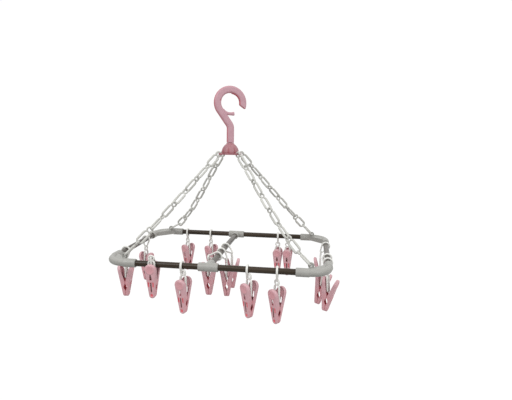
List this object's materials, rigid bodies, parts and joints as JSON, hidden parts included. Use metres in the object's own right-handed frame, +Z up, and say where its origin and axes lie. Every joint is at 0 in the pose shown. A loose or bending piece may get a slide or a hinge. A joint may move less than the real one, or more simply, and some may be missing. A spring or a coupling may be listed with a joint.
{
  "type": "clip drying hanger",
  "caption": "Hanging clip dryer: a swivel hook, a domed hub, snap-link chains and a rectangular tube frame with sprung clips hanging from the tubes.",
  "frame": {"origin": "where the hook rests on a rail: the top of the hook's inner curve, on the swivel axis", "axes": "+Z up along the swivel axis; +X along the long side of the frame; the front of the hanger faces -Y"},
  "size_m": [0.4403, 0.32, 0.4241],
  "materials": {
    "pink_plastic": "satin moulded plastic",
    "rose_plastic": "satin moulded plastic",
    "white_plastic": "satin moulded plastic",
    "tube_metal": "dark polished tube"
  },
  "bodies": {
    "hook": {"hook": "pink_plastic"},
    "hub": {"hub_dome": "rose_plastic", "hub_plate": "rose_plastic", "chain_back_left": "white_plastic", "chain_back_right": "white_plastic", "chain_front_left": "white_plastic", "chain_front_right": "white_plastic"},
    "frame": {"elbow_back_left": "white_plastic", "elbow_back_right": "white_plastic", "elbow_front_left": "white_plastic", "elbow_front_right": "white_plastic", "tee_back": "white_plastic", "tee_front": "white_plastic", "tube_back_left": "tube_metal", "tube_back_right": "tube_metal", "tube_centre": "tube_metal", "tube_front_left": "tube_metal", "tube_front_right": "tube_metal", "tube_side_left": "tube_metal", "tube_side_right": "tube_metal"},
    "clip_front_1": {"clip_front_1_carrier_jaw": "pink_plastic"},
    "clip_front_1_jaw": {"clip_front_1_free_jaw": "pink_plastic"},
    "clip_front_2": {"clip_front_2_carrier_jaw": "pink_plastic"},
    "clip_front_2_jaw": {"clip_front_2_free_jaw": "pink_plastic"},
    "clip_front_3": {"clip_front_3_carrier_jaw": "pink_plastic"},
    "clip_front_3_jaw": {"clip_front_3_free_jaw": "pink_plastic"},
    "clip_front_4": {"clip_front_4_carrier_jaw": "pink_plastic"},
    "clip_front_4_jaw": {"clip_front_4_free_jaw": "pink_plastic"},
    "clip_back_1": {"clip_back_1_carrier_jaw": "pink_plastic"},
    "clip_back_1_jaw": {"clip_back_1_free_jaw": "pink_plastic"},
    "clip_back_2": {"clip_back_2_carrier_jaw": "pink_plastic"},
    "clip_back_2_jaw": {"clip_back_2_free_jaw": "pink_plastic"},
    "clip_back_3": {"clip_back_3_carrier_jaw": "pink_plastic"},
    "clip_back_3_jaw": {"clip_back_3_free_jaw": "pink_plastic"},
    "clip_back_4": {"clip_back_4_carrier_jaw": "pink_plastic"},
    "clip_back_4_jaw": {"clip_back_4_free_jaw": "pink_plastic"},
    "clip_left_1": {"clip_left_1_carrier_jaw": "pink_plastic"},
    "clip_left_1_jaw": {"clip_left_1_free_jaw": "pink_plastic"},
    "clip_left_2": {"clip_left_2_carrier_jaw": "pink_plastic"},
    "clip_left_2_jaw": {"clip_left_2_free_jaw": "pink_plastic"},
    "clip_centre_1": {"clip_centre_1_carrier_jaw": "pink_plastic"},
    "clip_centre_1_jaw": {"clip_centre_1_free_jaw": "pink_plastic"},
    "clip_centre_2": {"clip_centre_2_carrier_jaw": "pink_plastic"},
    "clip_centre_2_jaw": {"clip_centre_2_free_jaw": "pink_plastic"},
    "clip_centre_3": {"clip_centre_3_carrier_jaw": "pink_plastic"},
    "clip_centre_3_jaw": {"clip_centre_3_free_jaw": "pink_plastic"},
    "clip_right_1": {"clip_right_1_carrier_jaw": "pink_plastic"},
    "clip_right_1_jaw": {"clip_right_1_free_jaw": "pink_plastic"},
    "clip_right_2": {"clip_right_2_carrier_jaw": "pink_plastic"},
    "clip_right_2_jaw": {"clip_right_2_free_jaw": "pink_plastic"},
    "clip_right_3": {"clip_right_3_carrier_jaw": "pink_plastic"},
    "clip_right_3_jaw": {"clip_right_3_free_jaw": "pink_plastic"}
  },
  "joints": [
    {"name": "hook_swivel", "type": "hinge", "parent": "hook", "child": "hub", "pos_m": [0, 0, -0.0977], "axis": [0, 0, 1], "continuous": true},
    {"name": "frame_lift", "type": "slide", "parent": "hub", "child": "frame", "axis": [0, 0, 1], "range_m": [0, 0.12], "deforming": ["chain_back_left", "chain_back_right", "chain_front_left", "chain_front_right"]},
    {"name": "clip_front_1_swing", "type": "hinge", "parent": "frame", "child": "clip_front_1", "pos_m": [-0.111, -0.14, -0.315], "axis": [1, 0, 0], "range_deg": [-30, 30]},
    {"name": "clip_front_1_jaw_open", "type": "hinge", "parent": "clip_front_1", "child": "clip_front_1_jaw", "pos_m": [-0.111, -0.1428, -0.34533], "axis": [-1, 0, 0], "range_deg": [0, 2.5], "stiffness_Nm_per_rad": 0.15, "springref_deg": -28.65},
    {"name": "clip_front_2_swing", "type": "hinge", "parent": "frame", "child": "clip_front_2", "pos_m": [-0.058, -0.14, -0.315], "axis": [1, 0, 0], "range_deg": [-30, 30]},
    {"name": "clip_front_2_jaw_open", "type": "hinge", "parent": "clip_front_2", "child": "clip_front_2_jaw", "pos_m": [-0.05376, -0.14463, -0.3695], "axis": [0.9703, -0.2419, 0], "range_deg": [0, 15], "stiffness_Nm_per_rad": 0.15, "springref_deg": -28.65},
    {"name": "clip_front_3_swing", "type": "hinge", "parent": "frame", "child": "clip_front_3", "pos_m": [0.0595, -0.14, -0.315], "axis": [1, 0, 0], "range_deg": [-30, 30]},
    {"name": "clip_front_3_jaw_open", "type": "hinge", "parent": "clip_front_3", "child": "clip_front_3_jaw", "pos_m": [0.06409, -0.14479, -0.3695], "axis": [0.809, -0.5878, 0], "range_deg": [0, 15], "stiffness_Nm_per_rad": 0.15, "springref_deg": -28.65},
    {"name": "clip_front_4_swing", "type": "hinge", "parent": "frame", "child": "clip_front_4", "pos_m": [0.1115, -0.14, -0.315], "axis": [1, 0, 0], "range_deg": [-30, 30]},
    {"name": "clip_front_4_jaw_open", "type": "hinge", "parent": "clip_front_4", "child": "clip_front_4_jaw", "pos_m": [0.1121, -0.1392, -0.3789], "axis": [0.7986, -0.6018, 0], "range_deg": [0, 15], "stiffness_Nm_per_rad": 0.15, "springref_deg": -28.65},
    {"name": "clip_back_1_swing", "type": "hinge", "parent": "frame", "child": "clip_back_1", "pos_m": [-0.131, 0.14, -0.315], "axis": [1, 0, 0], "range_deg": [-30, 30]},
    {"name": "clip_back_1_jaw_open", "type": "hinge", "parent": "clip_back_1", "child": "clip_back_1_jaw", "pos_m": [-0.1305, 0.14087, -0.3789], "axis": [0.866, -0.5, 0], "range_deg": [0, 15], "stiffness_Nm_per_rad": 0.15, "springref_deg": -28.65},
    {"name": "clip_back_2_swing", "type": "hinge", "parent": "frame", "child": "clip_back_2", "pos_m": [-0.073, 0.14, -0.315], "axis": [1, 0, 0], "range_deg": [-30, 30]},
    {"name": "clip_back_2_jaw_open", "type": "hinge", "parent": "clip_back_2", "child": "clip_back_2_jaw", "pos_m": [-0.07243, 0.14082, -0.3789], "axis": [0.8192, -0.5736, 0], "range_deg": [0, 15], "stiffness_Nm_per_rad": 0.15, "springref_deg": -28.65},
    {"name": "clip_back_3_swing", "type": "hinge", "parent": "frame", "child": "clip_back_3", "pos_m": [0.09, 0.14, -0.315], "axis": [1, 0, 0], "range_deg": [-30, 30]},
    {"name": "clip_back_3_jaw_open", "type": "hinge", "parent": "clip_back_3", "child": "clip_back_3_jaw", "pos_m": [0.09007, 0.141, -0.3789], "axis": [0.9976, -0.0698, 0], "range_deg": [0, 15], "stiffness_Nm_per_rad": 0.15, "springref_deg": -28.65},
    {"name": "clip_back_4_swing", "type": "hinge", "parent": "frame", "child": "clip_back_4", "pos_m": [0.1135, 0.14, -0.315], "axis": [1, 0, 0], "range_deg": [-30, 30]},
    {"name": "clip_back_4_jaw_open", "type": "hinge", "parent": "clip_back_4", "child": "clip_back_4_jaw", "pos_m": [0.1136, 0.141, -0.3789], "axis": [0.9945, -0.1045, 0], "range_deg": [0, 15], "stiffness_Nm_per_rad": 0.15, "springref_deg": -28.65},
    {"name": "clip_left_1_swing", "type": "hinge", "parent": "frame", "child": "clip_left_1", "pos_m": [-0.2, -0.057, -0.315], "axis": [0, 1, 0], "range_deg": [-30, 30]},
    {"name": "clip_left_1_jaw_open", "type": "hinge", "parent": "clip_left_1", "child": "clip_left_1_jaw", "pos_m": [-0.201, -0.05709, -0.3789], "axis": [-0.0872, 0.9962, 0], "range_deg": [0, 15], "stiffness_Nm_per_rad": 0.15, "springref_deg": -28.65},
    {"name": "clip_left_2_swing", "type": "hinge", "parent": "frame", "child": "clip_left_2", "pos_m": [-0.2, 0.046, -0.315], "axis": [0, 1, 0], "range_deg": [-30, 30]},
    {"name": "clip_left_2_jaw_open", "type": "hinge", "parent": "clip_left_2", "child": "clip_left_2_jaw", "pos_m": [-0.19905, 0.04569, -0.3789], "axis": [-0.309, -0.9511, 0], "range_deg": [0, 15], "stiffness_Nm_per_rad": 0.15, "springref_deg": -28.65},
    {"name": "clip_centre_1_swing", "type": "hinge", "parent": "frame", "child": "clip_centre_1", "pos_m": [-0.01, -0.066, -0.315], "axis": [0, 1, 0], "range_deg": [-30, 30]},
    {"name": "clip_centre_1_jaw_open", "type": "hinge", "parent": "clip_centre_1", "child": "clip_centre_1_jaw", "pos_m": [-0.02691, -0.066, -0.3622], "axis": [0, -1, 0], "range_deg": [0, 15], "stiffness_Nm_per_rad": 0.15, "springref_deg": -28.65},
    {"name": "clip_centre_2_swing", "type": "hinge", "parent": "frame", "child": "clip_centre_2", "pos_m": [-0.01, -0.033, -0.315], "axis": [0, 1, 0], "range_deg": [-30, 30]},
    {"name": "clip_centre_2_jaw_open", "type": "hinge", "parent": "clip_centre_2", "child": "clip_centre_2_jaw", "pos_m": [0.00204, -0.03286, -0.3751], "axis": [0.1392, -0.9903, 0], "range_deg": [0, 15], "stiffness_Nm_per_rad": 0.15, "springref_deg": -28.65},
    {"name": "clip_centre_3_swing", "type": "hinge", "parent": "frame", "child": "clip_centre_3", "pos_m": [-0.01, 0.008, -0.315], "axis": [0, 1, 0], "range_deg": [-30, 30]},
    {"name": "clip_centre_3_jaw_open", "type": "hinge", "parent": "clip_centre_3", "child": "clip_centre_3_jaw", "pos_m": [0.00514, 0.00807, -0.372], "axis": [0.0698, -0.9976, 0], "range_deg": [0, 15], "stiffness_Nm_per_rad": 0.15, "springref_deg": -28.65},
    {"name": "clip_right_1_swing", "type": "hinge", "parent": "frame", "child": "clip_right_1", "pos_m": [0.2, -0.067, -0.315], "axis": [0, 1, 0], "range_deg": [-30, 30]},
    {"name": "clip_right_1_jaw_open", "type": "hinge", "parent": "clip_right_1", "child": "clip_right_1_jaw", "pos_m": [0.20228, -0.06731, -0.37884], "axis": [-0.3052, -0.9511, 0.0483], "range_deg": [0, 15], "stiffness_Nm_per_rad": 0.15, "springref_deg": -28.65},
    {"name": "clip_right_2_swing", "type": "hinge", "parent": "frame", "child": "clip_right_2", "pos_m": [0.2, -0.036, -0.315], "axis": [0, 1, 0], "range_deg": [-30, 30]},
    {"name": "clip_right_2_jaw_open", "type": "hinge", "parent": "clip_right_2", "child": "clip_right_2_jaw", "pos_m": [0.18934, -0.03628, -0.37804], "axis": [-0.2706, -0.9613, 0.0526], "range_deg": [0, 15], "stiffness_Nm_per_rad": 0.15, "springref_deg": -28.65},
    {"name": "clip_right_3_swing", "type": "hinge", "parent": "frame", "child": "clip_right_3", "pos_m": [0.2, 0.062, -0.315], "axis": [0, 1, 0], "range_deg": [-30, 30]},
    {"name": "clip_right_3_jaw_open", "type": "hinge", "parent": "clip_right_3", "child": "clip_right_3_jaw", "pos_m": [0.19045, 0.062, -0.37547], "axis": [0, -1, 0], "range_deg": [0, 15], "stiffness_Nm_per_rad": 0.15, "springref_deg": -28.65}
  ]
}
